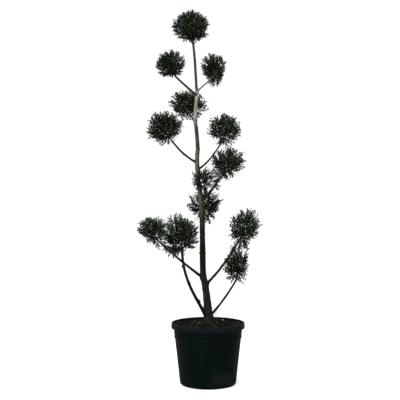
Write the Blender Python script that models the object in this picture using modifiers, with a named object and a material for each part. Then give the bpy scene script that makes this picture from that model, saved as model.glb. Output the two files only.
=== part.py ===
"""A leyland cypress trained as a pompon topiary, growing in its nursery pot.

Metres, +Z up. The pot stands on z = 0 with its axis on the Z axis, and the plant is seen from -Y.
The trunk and each bough are single tapering limbs. Each pompon is one solid: a stem that carries
on from its bough, twigs that branch from the stem, and toothed blades, each a spray of foliage.
"""

import math
import random

import bmesh
import bpy
from mathutils import Matrix, Quaternion, Vector

GAP = 0.0003
UP = Vector((0, 0, 1))

# Pot: a 34 cm container with a turned-down rim, a collar and a tapered wall
POT_SIDES = 36
POT_HEIGHT = 0.283
POT_WALL = 0.0025
POT_FLOOR = 0.004
RIM_RADIUS = 0.170
RIM_DROP = 0.024
RIM_INNER_RADIUS = 0.158
COLLAR_RADIUS = 0.1562
COLLAR_FOOT = 0.216
WALL_TOP_RADIUS = 0.1531
WALL_FOOT_RADIUS = 0.1305
FOOT_HEIGHT = 0.013
FOOT_ROUND = 0.0038
FOOT_INSET = 0.0043
UNDERSIDE_RADIUS = 0.1160
LIP_ROUND = 0.4 * POT_WALL
SKIRT_FLARE = 0.2 * POT_WALL
DRAIN_HOLES = 6
DRAIN_CIRCLE = 0.098
DRAIN_RADIUS = 0.007

# Soil: nearly level, a little higher round the trunk
SOIL_TOP = 0.277
SOIL_SEAT_RADIUS = 0.040
SOIL_FALL = 0.004

# Trunk: height, lean to the right, lean to the back, radius
TRUNK_STATIONS = (
    (0.262, 0.004, 0.000, 0.0265),
    (0.312, 0.002, 0.000, 0.0196),
    (0.404, -0.0062, 0.003, 0.0164),
    (0.455, -0.0135, 0.004, 0.0150),
    (0.527, -0.0235, 0.005, 0.0131),
    (0.707, -0.026, 0.000, 0.0117),
    (0.826, -0.0305, -0.005, 0.0109),
    (0.955, -0.0460, -0.003, 0.0097),
    (1.020, -0.0505, 0.001, 0.0091),
    (1.110, -0.0485, 0.004, 0.0083),
    (1.234, -0.0585, 0.003, 0.0073),
    (1.330, -0.0510, -0.002, 0.0062),
    (1.375, -0.0543, -0.003, 0.0052),
    (1.479, -0.0600, 0.000, 0.0049),
    (1.568, -0.0680, 0.001, 0.0043),
)
TRUNK_STEPS = 2
STUB_HEIGHT = 0.596
STUB_RADIUS = 0.0042
STUB_TIP_RADIUS = 0.0034
STUB_REACH = 0.018
STUB_WAY = Vector((-1.0, -0.3, 0.6)).normalized()

# Boughs: height where it leaves the trunk's axis, tip, radius at the trunk and the tip, bow below
# its chord, and where the bow is deepest: 1 halfway along, more towards the tip
BOUGHS = {
    "upper_left": (1.330, (-0.147, -0.080, 1.406), 0.0048, 0.0041, 0.001, 1.0),
    "upper_right": (1.351, (0.046, 0.042, 1.451), 0.0030, 0.0022, 0.004, 1.0),
    "upper_back": (1.206, (-0.082, 0.047, 1.250), 0.0040, 0.0030, 0.003, 1.0),
    "middle_left": (1.0205, (-0.163, -0.100, 1.1145), 0.0042, 0.0033, 0.0105, 1.0),
    "middle_right": (0.9895, (0.066, 0.058, 1.123), 0.0036, 0.0028, 0.0125, 0.8),
    "middle_front": (0.834, (0.060, -0.107, 0.958), 0.0050, 0.0038, 0.003, 1.0),
    "inner_front": (0.905, (-0.030, -0.029, 0.928), 0.0040, 0.0030, 0.002, 1.0),
    "inner_back": (0.788, (-0.022, 0.048, 0.795), 0.0045, 0.0034, 0.003, 1.0),
    "lower_far_left": (0.485, (-0.233, 0.093, 0.652), 0.0052, 0.0036, 0.004, 1.0),
    "lower_left": (0.284, (-0.117, -0.113, 0.623), 0.0074, 0.0047, 0.030, 1.5),
    "lower_right": (0.4525, (0.1285, -0.110, 0.651), 0.0050, 0.0045, 0.009, 1.0),
    "low_right": (0.304, (0.134, 0.104, 0.466), 0.0050, 0.0037, 0.008, 1.0),
}
BOUGH_STEP = 0.030
COLLAR_SWELL = 0.45
COLLAR_FADE = 8

# Pompons: centre, half width, half height, core as a share of them, seed
POMPONS = {
    "top": ((-0.079, 0.000, 1.656), 0.0823, 0.0730, 0.66, 13),
    "upper_left": ((-0.173, -0.080, 1.464), 0.0655, 0.0625, 0.68, 27),
    "upper_right": ((0.027, 0.100, 1.469), 0.0600, 0.0765, 0.66, 38),
    "upper_back": ((-0.096, 0.100, 1.301), 0.0860, 0.0740, 0.45, 43),
    "middle_left": ((-0.197, -0.100, 1.175), 0.0770, 0.0725, 0.68, 61),
    "middle_right": ((0.083, 0.100, 1.184), 0.0765, 0.0790, 0.62, 66),
    "middle_front": ((0.088, -0.120, 1.012), 0.0715, 0.0690, 0.66, 79),
    "inner_front": ((-0.011, -0.042, 0.934), 0.0600, 0.0590, 0.30, 85),
    "inner_back": ((-0.009, 0.080, 0.821), 0.0800, 0.0720, 0.45, 101),
    "lower_far_left": ((-0.265, 0.120, 0.703), 0.0700, 0.0740, 0.58, 104),
    "lower_left": ((-0.122, -0.130, 0.700), 0.0745, 0.0850, 0.62, 117),
    "lower_right": ((0.169, -0.110, 0.721), 0.0725, 0.0835, 0.60, 132),
    "low_right": ((0.140, 0.130, 0.530), 0.0665, 0.0790, 0.58, 139),
}
# How each pompon's outline departs from its spheroid, seen from the front: direction in degrees
# from +X up towards +Z, and how much further out (or in) its tips lie that way
LOBES = {
    "top": ((320, 0.08), (235, 0.12), (205, 0.04), (125, -0.14), (67, -0.08)),
    "upper_left": (
        (25, 0.10), (45, 0.06), (95, 0.08), (300, 0.14),
        (118, -0.12), (200, 0.02), (157, -0.06),
    ),
    "upper_right": (
        (33, 0.15), (0, -0.10), (90, -0.12), (125, 0.20),
        (215, -0.24), (250, 0.02), (300, 0.22), (325, -0.16),
    ),
    "upper_back": (
        (140, 0.22), (112, -0.16), (190, 0.10), (10, 0.12),
        (33, -0.06), (215, -0.30), (240, 0.24), (320, 0.06),
    ),
    "middle_left": (
        (112, 0.10), (28, 0.16), (50, -0.08), (180, 0.04),
        (240, 0.06), (345, -0.08), (290, 0.12),
    ),
    "middle_right": ((45, 0.02), (100, -0.10), (150, 0.14), (195, 0.06), (240, 0.12), (310, 0.04)),
    "middle_front": ((50, 0.14), (110, 0.10), (155, 0.06), (195, -0.08), (252, 0.16), (325, 0.06)),
    "inner_front": (
        (5, 0.20), (65, 0.30), (100, -0.10), (150, 0.22),
        (180, -0.06), (290, 0.30), (328, 0.24),
    ),
    "inner_back": (
        (75, 0.26), (150, 0.14), (182, 0.08), (208, -0.06),
        (260, 0.16), (345, -0.36), (20, 0.08), (300, 0.14),
    ),
    "lower_far_left": (
        (155, 0.24), (105, -0.08), (188, -0.06), (222, -0.26),
        (275, 0.18), (318, 0.34), (20, 0.06),
    ),
    "lower_left": ((130, 0.22), (82, -0.12), (212, 0.24), (250, 0.34), (332, 0.16), (40, 0.04)),
    "lower_right": (
        (50, 0.14), (95, 0.02), (165, 0.12), (0, -0.08),
        (200, -0.06), (246, 0.34), (285, 0.02), (320, -0.20),
    ),
    "low_right": (
        (78, 0.40), (145, 0.22), (10, -0.10), (190, 0.06),
        (250, 0.10), (300, 0.16), (335, -0.12),
    ),
}
LOBE_FOCUS = 6
STEM_START = 0.012
STEM_BEND = 0.6
STEM_RISE = 0.004
STEM_TAPER = (1.0, 0.95, 0.8, 0.6)
DIRECTION_JITTER = 0.16
TWIGS = 9
TWIG_RADIUS = 0.0018
TWIG_TIP_RADIUS = 0.00072
TWIG_REACH = 0.80
SPRAY_ROOT_SHARE = 0.58
SPRAYS_PER_TWIG = 3
SPRAY_REACH = (0.97, 1.03)
SPRAY_THICKNESS = 0.0034
SPRAY_SPREAD = math.radians(40)
SPRAY_ROLL = math.radians(35)
LIMB_CLEARANCE = 0.0030
SPACE_SLACK = 1.06
SPRAY_ROOT_LENGTH = 0.3
TWIG_ROOT_DROP = 0.5
TWIG_TESTED = (0.3, 0.4, 0.5, 0.6, 0.7, 0.8, 0.9, 1.0)

# Outline of one spray, in shares of its length: along the stalk and across it, teeth alternating
SPRAY_OUTLINE = (
    (0.00, 0.00),
    (0.56, -0.40),
    (0.62, -0.16),
    (1.00, 0.00),
    (0.76, 0.40),
    (0.58, 0.15),
)


def clear_scene():
    for item in list(bpy.data.objects):
        bpy.data.objects.remove(item)


def add_collection(name):
    made = bpy.data.collections.new(name)
    bpy.context.scene.collection.children.link(made)
    return made


def material(name, colour, roughness):
    made = bpy.data.materials.new(name)
    made.use_nodes = True
    shader = made.node_tree.nodes["Principled BSDF"]
    shader.inputs["Base Color"].default_value = (*colour, 1.0)
    shader.inputs["Roughness"].default_value = roughness
    shader.inputs["Metallic"].default_value = 0.0
    return made


def object_from(mesh, name, collection):
    made = bpy.data.objects.new(name, mesh)
    collection.objects.link(made)
    return made


def object_from_bmesh(shape, name, collection):
    mesh = bpy.data.meshes.new(name)
    shape.to_mesh(mesh)
    shape.free()
    return object_from(mesh, name, collection)


def shade(piece, finish, angle=None):
    """Gives the piece its finish, smooth up to the angle or flat without one."""
    piece.data.materials.clear()
    piece.data.materials.append(finish)
    if angle:
        piece.data.shade_smooth()
        piece.data.set_sharp_from_angle(angle=math.radians(angle))


def apply_modifiers(piece):
    """Replaces the piece's mesh by what its modifiers make of it."""
    graph = bpy.context.evaluated_depsgraph_get()
    mesh = bpy.data.meshes.new_from_object(piece.evaluated_get(graph))
    piece.modifiers.clear()
    piece.data = mesh


def turned(name, profile, collection):
    """A solid of revolution: the profile's (radius, height) points turned about the Z axis."""
    shape = bmesh.new()
    corners = [shape.verts.new((radius, 0, height)) for radius, height in profile]
    for one, other in zip(corners, corners[1:]):
        shape.edges.new((one, other))
    piece = object_from_bmesh(shape, name, collection)
    screw = piece.modifiers.new("Turn", "SCREW")
    screw.steps = POT_SIDES
    screw.render_steps = POT_SIDES
    screw.use_merge_vertices = True
    screw.merge_threshold = 0.0001
    apply_modifiers(piece)
    return piece


def inner_wall():
    """The pot's inside from the floor's edge to just under the rim."""
    return [
        (UNDERSIDE_RADIUS - POT_WALL, POT_FLOOR),
        (WALL_FOOT_RADIUS - POT_WALL, FOOT_HEIGHT + POT_WALL),
        (WALL_TOP_RADIUS - POT_WALL, COLLAR_FOOT - POT_WALL),
        (COLLAR_RADIUS - POT_WALL, COLLAR_FOOT + POT_WALL),
        (RIM_INNER_RADIUS, POT_HEIGHT - 2 * POT_WALL),
    ]


def make_pot(collection, cutters):
    lip = POT_WALL
    skirt_foot = POT_HEIGHT - RIM_DROP
    profile = [(0, POT_FLOOR)] + inner_wall() + [
        (RIM_INNER_RADIUS + LIP_ROUND, POT_HEIGHT - LIP_ROUND),
        (RIM_INNER_RADIUS + lip, POT_HEIGHT),
        (RIM_RADIUS - lip, POT_HEIGHT),
        (RIM_RADIUS - LIP_ROUND, POT_HEIGHT - LIP_ROUND),
        (RIM_RADIUS - SKIRT_FLARE, POT_HEIGHT - 4 * LIP_ROUND),
        (RIM_RADIUS, skirt_foot),
        (RIM_RADIUS - lip, skirt_foot),
        (RIM_RADIUS - lip - LIP_ROUND, POT_HEIGHT - 2 * lip),
        (RIM_INNER_RADIUS + lip, POT_HEIGHT - 2 * lip),
        (COLLAR_RADIUS, COLLAR_FOOT + lip),
        (COLLAR_RADIUS, COLLAR_FOOT),
        (WALL_TOP_RADIUS, COLLAR_FOOT - lip),
        (WALL_FOOT_RADIUS, FOOT_HEIGHT),
        (WALL_FOOT_RADIUS - FOOT_INSET, FOOT_ROUND),
        (UNDERSIDE_RADIUS, 0),
        (0, 0),
    ]
    pot = turned("pot", profile, collection)
    for number in range(DRAIN_HOLES):
        angle = 2 * math.pi * (number + 0.5) / DRAIN_HOLES
        bpy.ops.mesh.primitive_cylinder_add(
            vertices=8,
            radius=DRAIN_RADIUS,
            depth=4 * POT_FLOOR,
            location=(DRAIN_CIRCLE * math.cos(angle), DRAIN_CIRCLE * math.sin(angle), 0),
        )
        move_to(bpy.context.object, cutters)
    drill = pot.modifiers.new("Drain holes", "BOOLEAN")
    drill.operation = "DIFFERENCE"
    drill.operand_type = "COLLECTION"
    drill.collection = cutters
    apply_modifiers(pot)
    empty(cutters)
    shade(pot, material("black plastic", (0.006, 0.009, 0.010), 0.45), 30)


def move_to(piece, collection):
    for home in list(piece.users_collection):
        home.objects.unlink(piece)
    collection.objects.link(piece)
    piece.hide_render = True
    piece.display_type = "WIRE"


def empty(collection):
    for piece in list(collection.objects):
        bpy.data.objects.remove(piece)


def make_soil(collection):
    """Fills the pot to just under its rim, clear of the wall and the floor by the gap."""
    wall = inner_wall()
    (low_radius, low), (top_radius, top) = wall[-2:]
    edge = SOIL_TOP - SOIL_FALL
    edge_radius = low_radius + (top_radius - low_radius) * (edge - low) / (top - low)
    profile = [(0, SOIL_TOP), (SOIL_SEAT_RADIUS, SOIL_TOP)]
    profile += [(0.6 * edge_radius, SOIL_TOP - 0.5 * SOIL_FALL), (edge_radius - GAP, edge)]
    profile += [(radius - GAP, height + GAP) for radius, height in reversed(wall[:-1])]
    profile += [(0, POT_FLOOR + GAP)]
    soil = turned("soil", profile, collection)
    shade(soil, material("potting soil", (0.011, 0.011, 0.009), 0.95), 30)


def smooth_point(a, b, c, d, t):
    """Values at t between b and c on the smooth curve through a, b, c and d."""
    return tuple(
        0.5 * (2 * q + (r - p) * t + (2 * p - 5 * q + 4 * r - s) * t**2 + (3 * q - p - 3 * r + s) * t**3)
        for p, q, r, s in zip(a, b, c, d)
    )


def trunk_path():
    """Points and radii up the trunk, smooth through its stations."""
    rows = TRUNK_STATIONS
    path = []
    for index in range(len(rows) - 1):
        around = (rows[max(index - 1, 0)], rows[index], rows[index + 1], rows[min(index + 2, len(rows) - 1)])
        for step in range(TRUNK_STEPS):
            z, x, y, radius = smooth_point(*around, step / TRUNK_STEPS)
            path.append((Vector((x, y, z)), radius))
    z, x, y, radius = rows[-1]
    return path + [(Vector((x, y, z)), radius)]


def trunk_at(height):
    """Point on the trunk's axis at a height."""
    path = trunk_path()
    for (low, _), (high, _) in zip(path, path[1:]):
        if low.z <= height <= high.z:
            return low.lerp(high, (height - low.z) / (high.z - low.z))
    raise ValueError(f"the trunk doesn't reach {height}")


def bough_path(height, tip, base_radius, tip_radius, bow, deepest):
    """Points and radii of a bough from the trunk's axis to its tip, bowed to its underside."""
    start = trunk_at(height)
    chord = Vector(tip) - start
    along = chord.normalized()
    under = (along * along.z - UP).normalized()
    steps = max(4, round(chord.length / BOUGH_STEP))
    path = []
    for step in range(steps + 1):
        t = step / steps
        radius = base_radius + (tip_radius - base_radius) * t
        swell = 1 + COLLAR_SWELL * (1 - t) ** COLLAR_FADE
        sag = t**deepest
        path.append((start + chord * t + under * bow * 4 * sag * (1 - sag), radius * swell))
    return path


def limb(name, path, resolution, collection, extra=0.0):
    """A closed tapering tube along a path of points and radii, grown outwards by extra."""
    curve = bpy.data.curves.new(name, "CURVE")
    curve.dimensions = "3D"
    curve.bevel_depth = 1.0
    curve.bevel_resolution = resolution
    curve.use_fill_caps = True
    spline = curve.splines.new("POLY")
    spline.points.add(len(path) - 1)
    for knot, (point, radius) in zip(spline.points, path):
        knot.co = (*point, 1.0)
        knot.radius = radius + extra
    drawn = bpy.data.objects.new(name, curve)
    collection.objects.link(drawn)
    mesh = bpy.data.meshes.new_from_object(drawn.evaluated_get(bpy.context.evaluated_depsgraph_get()))
    bpy.data.objects.remove(drawn)
    shape = bmesh.new()
    shape.from_mesh(mesh)
    bmesh.ops.remove_doubles(shape, verts=shape.verts, dist=1e-6)
    shape.to_mesh(mesh)
    shape.free()
    return object_from(mesh, name, collection)


def cut_level(piece, height):
    """Cuts the piece off flat at a height and closes the cut."""
    shape = bmesh.new()
    shape.from_mesh(piece.data)
    everything = shape.verts[:] + shape.edges[:] + shape.faces[:]
    cut = bmesh.ops.bisect_plane(
        shape, geom=everything, plane_co=(0, 0, height), plane_no=UP, clear_inner=True
    )["geom_cut"]
    edges = [item for item in cut if isinstance(item, bmesh.types.BMEdge)]
    bmesh.ops.contextual_create(shape, geom=edges)
    shape.to_mesh(piece.data)
    shape.free()


def make_trunk(collection, cutters, bark):
    trunk = limb("trunk", trunk_path(), 4, collection)
    cut_level(trunk, SOIL_TOP + GAP)
    root = trunk_at(STUB_HEIGHT)
    stub = limb("stub", [(root, STUB_RADIUS), (root + STUB_WAY * STUB_REACH, STUB_TIP_RADIUS)], 2, cutters)
    union = trunk.modifiers.new("Pruned stub", "BOOLEAN")
    union.operation = "UNION"
    union.object = stub
    apply_modifiers(trunk)
    empty(cutters)
    shade(trunk, bark, 50)


def make_boughs(collection, cutters, bark):
    """Each bough, its foot cut to the trunk's side with the gap between them."""
    sheath = limb("sheath", trunk_path(), 4, cutters, extra=GAP)
    sheath.hide_render = True
    sheath.display_type = "WIRE"
    paths = {}
    for name, values in BOUGHS.items():
        paths[name] = bough_path(*values)
        bough = limb("bough_" + name, paths[name], 2, collection)
        saddle = bough.modifiers.new("Saddle", "BOOLEAN")
        saddle.operation = "DIFFERENCE"
        saddle.object = sheath
        apply_modifiers(bough)
        keep_largest_body(bough)
        shade(bough, bark, 50)
    empty(cutters)
    return paths


def keep_largest_body(piece):
    """Drops loose scraps and the walls of sealed hollows, and cleans up what the union left."""
    shape = bmesh.new()
    shape.from_mesh(piece.data)
    bmesh.ops.remove_doubles(shape, verts=shape.verts, dist=1e-6)
    bmesh.ops.triangulate(shape, faces=shape.faces)
    left = set(shape.faces)
    bodies = []
    while left:
        queue = [left.pop()]
        body = list(queue)
        while queue:
            face = queue.pop()
            for edge in face.edges:
                for other in edge.link_faces:
                    if other in left:
                        left.remove(other)
                        queue.append(other)
                        body.append(other)
        bodies.append(body)
    bodies.sort(key=len)
    scraps = [face for body in bodies[:-1] for face in body]
    bmesh.ops.delete(shape, geom=scraps, context="FACES")
    shape.to_mesh(piece.data)
    shape.free()


def spray(corners, collection):
    """A toothed blade of foliage inside a flat outline, thickest in its middle."""
    shape = bmesh.new()
    for side in (corners, corners[::-1]):
        shape.faces.new([shape.verts.new(corner) for corner in side])
    shape.normal_update()
    bmesh.ops.poke(shape, faces=shape.faces, offset=SPRAY_THICKNESS / 2)
    bmesh.ops.remove_doubles(shape, verts=shape.verts, dist=1e-6)
    return object_from_bmesh(shape, "spray", collection)


def twig(root, tip, collection):
    """A three-sided tapering twig."""
    shape = bmesh.new()
    along = tip - root
    bmesh.ops.create_cone(
        shape, cap_ends=True, segments=3, radius1=TWIG_RADIUS, radius2=TWIG_TIP_RADIUS, depth=along.length
    )
    turn = along.to_track_quat("Z", "Y").to_matrix().to_4x4()
    bmesh.ops.transform(shape, matrix=Matrix.Translation((root + tip) / 2) @ turn, verts=shape.verts)
    return object_from_bmesh(shape, "twig", collection)


def spread_directions(count, chance):
    """Directions spread evenly over a sphere, each a little off its place."""
    golden = math.pi * (3 - math.sqrt(5))
    start = chance.uniform(0, 2 * math.pi)
    for index in range(count):
        z = 1 - 2 * (index + 0.5) / count
        level = math.sqrt(1 - z * z)
        turn = start + golden * index
        jitter = Vector([chance.uniform(-DIRECTION_JITTER, DIRECTION_JITTER) for _ in range(3)])
        yield (Vector((level * math.cos(turn), level * math.sin(turn), z)) + jitter).normalized()


class Space:
    """A pompon's own space: a spheroid with lobes that its foliage fills and doesn't leave."""

    def __init__(self, centre, half_width, half_height, lobes):
        self.centre = Vector(centre)
        self.half = Vector((half_width, half_width, half_height))
        turns = [(math.radians(turn), gain) for turn, gain in lobes]
        self.lobes = [(Vector((math.cos(turn), 0, math.sin(turn))), gain) for turn, gain in turns]

    def swell(self, direction):
        """How far out the space reaches in a direction, 1 on the plain spheroid."""
        return 1 + sum(gain * max(0.0, direction.dot(way)) ** LOBE_FOCUS for way, gain in self.lobes)

    def point(self, direction, share):
        return self.centre + direction * self.half * share * self.swell(direction)

    def holds(self, point, share=SPACE_SLACK):
        offset = point - self.centre
        outward = Vector([offset[i] / self.half[i] for i in range(3)])
        return outward.length <= share * self.swell(outward.normalized())


def clear_of_limbs(points, limbs):
    """Whether the points keep clear of every trunk and bough."""
    for path in limbs:
        for (start, start_radius), (end, end_radius) in zip(path, path[1:]):
            axis = end - start
            for point in points:
                t = min(1, max(0, (point - start).dot(axis) / axis.length_squared))
                radius = start_radius + (end_radius - start_radius) * t
                if (point - (start + axis * t)).length < radius + LIMB_CLEARANCE:
                    return False
    return True


def along_outline(corners, steps):
    """Points along a closed outline, the given number on each side of it."""
    for one, other in zip(corners, corners[1:] + corners[:1]):
        for step in range(steps):
            yield one.lerp(other, step / steps)


def stem_path(entry, centre):
    """Points and radii of a pompon's stem, from its bough's tip across the gap to the centre."""
    (before, _), (tip, radius) = entry
    leave = (tip - before).normalized()
    points = [
        tip + leave * GAP,
        tip + leave * (GAP + STEM_START),
        tip.lerp(centre, STEM_BEND) + leave * STEM_RISE,
        centre,
    ]
    return [(point, radius * share) for point, share in zip(points, STEM_TAPER)]


def add_core(space, share, cutters):
    """The dense middle of a clipped pompon."""
    bpy.ops.mesh.primitive_ico_sphere_add(
        subdivisions=2, radius=1, location=space.centre, scale=space.half * share
    )
    core = bpy.context.object
    bpy.ops.object.transform_apply(location=False, rotation=False)
    move_to(core, cutters)


def grow_twigs(space, stem, seed, limbs, cutters):
    """Twigs all round the stem, each with a fan of sprays, where they fit and touch no limb."""
    chance = random.Random(seed)
    low = stem[-2][0]
    for outward in spread_directions(TWIGS, chance):
        root = low.lerp(space.centre, min(1.0, 1.0 + TWIG_ROOT_DROP * outward.z))
        end = space.point(outward, TWIG_REACH)
        if clear_of_limbs([root.lerp(end, share) for share in TWIG_TESTED], limbs):
            twig(root, end, cutters)
        flat = outward.orthogonal().normalized()
        flat.rotate(Quaternion(outward, chance.uniform(0, 2 * math.pi)))
        for number in range(SPRAYS_PER_TWIG):
            swing = (number - (SPRAYS_PER_TWIG - 1) / 2) * SPRAY_SPREAD
            base = space.centre.lerp(end, SPRAY_ROOT_SHARE)
            side = outward * math.cos(swing) + flat * math.sin(swing)
            aim = space.point(side, chance.uniform(*SPRAY_REACH))
            length = (aim - base).length
            along = (aim - base).normalized()
            across = (flat - along * flat.dot(along)).normalized()
            across.rotate(Quaternion(along, chance.uniform(-SPRAY_ROLL, SPRAY_ROLL)))
            corners = [base + (along * u + across * v) * length for u, v in SPRAY_OUTLINE]
            root_length = SPRAY_ROOT_LENGTH * length
            outside = [point for point in along_outline(corners, 4) if (point - base).length > root_length]
            if clear_of_limbs(outside, limbs) and all(space.holds(point) for point in outside):
                spray(corners, cutters)


def make_pompon(name, entry, space, core_share, seed, limbs, collection, cutters, foliage):
    """One pompon: its stem from the bough's tip, core, twigs and sprays, joined in one union."""
    stem = stem_path(entry, space.centre)
    pompon = limb("pompon_" + name, stem, 0, collection)
    add_core(space, core_share, cutters)
    grow_twigs(space, stem, seed, limbs, cutters)
    union = pompon.modifiers.new("Fuse", "BOOLEAN")
    union.operation = "UNION"
    union.operand_type = "COLLECTION"
    union.collection = cutters
    union.solver = "EXACT"
    apply_modifiers(pompon)
    empty(cutters)
    keep_largest_body(pompon)
    shade(pompon, foliage)


def main():
    clear_scene()
    plant = add_collection("pompon topiary")
    cutters = add_collection("cutters")
    bark = material("bark", (0.11, 0.10, 0.075), 0.85)
    foliage = material("cypress foliage", (0.020, 0.027, 0.016), 0.75)
    make_pot(plant, cutters)
    make_soil(plant)
    make_trunk(plant, cutters, bark)
    boughs = make_boughs(plant, cutters, bark)
    trunk = trunk_path()
    limbs = [trunk] + list(boughs.values())
    for name, (centre, half_width, half_height, core_share, seed) in POMPONS.items():
        entry = boughs.get(name, trunk)[-2:]
        space = Space(centre, half_width, half_height, LOBES[name])
        make_pompon(name, entry, space, core_share, seed, limbs, plant, cutters, foliage)


main()
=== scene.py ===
"""A leyland cypress trained as a pompon topiary, in its nursery pot: bark, foliage, soil and plastic.

Metres, +Z up, seen from -Y. The limbs and pompons follow the same rules and sizes as the solids:
each pompon's stem carries on from its bough, twigs branch from the stem, finer twigs from those,
and each fine twig holds a tuft of feathery sprays that keeps to the pompon's own space.
"""

import math
import random

import bmesh
import bpy
import numpy as np
from mathutils import Matrix, Vector, noise


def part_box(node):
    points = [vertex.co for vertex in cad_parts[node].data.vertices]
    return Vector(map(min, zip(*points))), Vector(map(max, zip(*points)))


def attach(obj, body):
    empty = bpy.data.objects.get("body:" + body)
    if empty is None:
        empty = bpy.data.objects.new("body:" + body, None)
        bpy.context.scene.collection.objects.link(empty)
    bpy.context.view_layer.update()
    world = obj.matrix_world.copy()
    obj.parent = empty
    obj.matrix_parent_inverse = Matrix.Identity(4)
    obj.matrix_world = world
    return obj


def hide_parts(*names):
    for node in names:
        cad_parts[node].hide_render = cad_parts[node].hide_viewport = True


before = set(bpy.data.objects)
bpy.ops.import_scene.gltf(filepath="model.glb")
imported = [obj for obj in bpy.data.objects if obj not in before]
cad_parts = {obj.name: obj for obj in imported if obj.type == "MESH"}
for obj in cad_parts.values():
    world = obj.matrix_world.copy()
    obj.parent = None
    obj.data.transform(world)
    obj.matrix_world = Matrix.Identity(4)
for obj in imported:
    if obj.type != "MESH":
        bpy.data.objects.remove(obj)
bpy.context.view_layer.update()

UP = Vector((0, 0, 1))

# Camera: level, a little left of the pot's axis, in the photograph's 400 pixel frame
CAMERA_PLACE = (-0.037, -3.6, 0.848)
CAMERA_LENS = 70.04

# Studio: the floor turns a little greyer between two distances, and the sky brighter overhead
FLOOR_RADIUS = 40.0
FLOOR_FADE = (0.8, 2.0)
SKY_STRENGTH = 1.04
SKY_OVERHEAD = 1.6
# Lights: name, place, aim, size and power
LIGHTS = (
    ("key light", (-1.6, -3.0, 3.9), (0, 0, 0.9), 3.4, 262.0),
    ("fill light", (2.6, -2.2, 1.8), (0, 0, 0.8), 1.6, 20.0),
)

# Pot
POT_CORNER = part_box("pot")[1]
POT_SIDES = 144
POT_HEIGHT = POT_CORNER.z
RIM_RADIUS = POT_CORNER.x
RIM_DROP = 0.024
RIM_ROUND = 0.0032
RIM_DRAFT = 0.0004
RIM_INNER_RADIUS = 0.158
RIM_INNER_ROUND = 0.0022
COLLAR_RADIUS = 0.1562
COLLAR_FOOT = 0.216
COLLAR_EDGE = 0.0015
# Steps up the collar: how far out from its radius, and how far above its foot
COLLAR_STEPS = ((0.0, 0.0050), (-0.0007, 0.0062), (0.0003, 0.0180))
WALL_TOP_RADIUS = 0.1531
WALL_FOOT_RADIUS = 0.1305
FOOT_HEIGHT = 0.013
UNDERSIDE_RADIUS = 0.1160
HUB_RADIUS = 0.4 * UNDERSIDE_RADIUS
POT_WALL = 0.0025
POT_FLOOR = 0.004
DRAIN_HOLES = 6
DRAIN_CIRCLE = 0.098
DRAIN_RADIUS = 0.007

# Soil
SOIL_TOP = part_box("soil")[1].z
SOIL_FALL = 0.004
SOIL_LUMPS = 0.0035
SOIL_LUMP_SCALE = 38
SOIL_MOUND = 0.0035
SOIL_MOUND_RADIUS = 0.045
SOIL_EDGE = 0.003
SOIL_EDGE_FADE = 0.02
SOIL_GAP = 0.0006
SOIL_REST = 0.0004
SOIL_RINGS = 34
SOIL_SIDES = 120

# Trunk: height, lean to the right, lean to the back, radius
TRUNK_STATIONS = (
    (0.262, 0.004, 0.000, 0.0265),
    (0.312, 0.002, 0.000, 0.0196),
    (0.404, -0.0062, 0.003, 0.0164),
    (0.455, -0.0135, 0.004, 0.0150),
    (0.527, -0.0235, 0.005, 0.0131),
    (0.707, -0.026, 0.000, 0.0117),
    (0.826, -0.0305, -0.005, 0.0109),
    (0.955, -0.0460, -0.003, 0.0097),
    (1.020, -0.0505, 0.001, 0.0091),
    (1.110, -0.0485, 0.004, 0.0083),
    (1.234, -0.0585, 0.003, 0.0073),
    (1.330, -0.0510, -0.002, 0.0062),
    (1.375, -0.0543, -0.003, 0.0052),
    (1.479, -0.0600, 0.000, 0.0049),
    (1.568, -0.0680, 0.001, 0.0043),
)
STUB_HEIGHT = 0.596
STUB_RADIUS = 0.0042
STUB_REACH = 0.018

# Boughs: height where it leaves the trunk's axis, tip, radius at the trunk and the tip, bow below
# its chord, and where the bow is deepest: 1 halfway along, more towards the tip
BOUGHS = {
    "upper_left": (1.330, (-0.147, -0.080, 1.406), 0.0048, 0.0041, 0.001, 1.0),
    "upper_right": (1.351, (0.046, 0.042, 1.451), 0.0030, 0.0022, 0.004, 1.0),
    "upper_back": (1.206, (-0.082, 0.047, 1.250), 0.0040, 0.0030, 0.003, 1.0),
    "middle_left": (1.0205, (-0.163, -0.100, 1.1145), 0.0042, 0.0033, 0.0105, 1.0),
    "middle_right": (0.9895, (0.066, 0.058, 1.123), 0.0036, 0.0028, 0.0125, 0.8),
    "middle_front": (0.834, (0.060, -0.107, 0.958), 0.0050, 0.0038, 0.003, 1.0),
    "inner_front": (0.905, (-0.030, -0.029, 0.928), 0.0040, 0.0030, 0.002, 1.0),
    "inner_back": (0.788, (-0.022, 0.048, 0.795), 0.0045, 0.0034, 0.003, 1.0),
    "lower_far_left": (0.485, (-0.233, 0.093, 0.652), 0.0052, 0.0036, 0.004, 1.0),
    "lower_left": (0.284, (-0.117, -0.113, 0.623), 0.0074, 0.0047, 0.030, 1.5),
    "lower_right": (0.4525, (0.1285, -0.110, 0.651), 0.0050, 0.0045, 0.009, 1.0),
    "low_right": (0.304, (0.134, 0.104, 0.466), 0.0050, 0.0037, 0.008, 1.0),
}
COLLAR_SWELL = 0.45
COLLAR_FADE = 8
RING_SPACING = 0.004

# Bark: its thickness, and how far its strings, swellings and scales stand out
BARK_THICKNESS = 0.0008
BARK_STRINGS = 0.085
BARK_SWELLINGS = 0.08
BARK_SCALES = 0.00045
FLARE_HEIGHT = 0.075
FLARE_LOBES = 0.12
SCARS = 20
SCARS_FOOT = 0.36
SCARS_HEIGHT = 1.18

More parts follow.
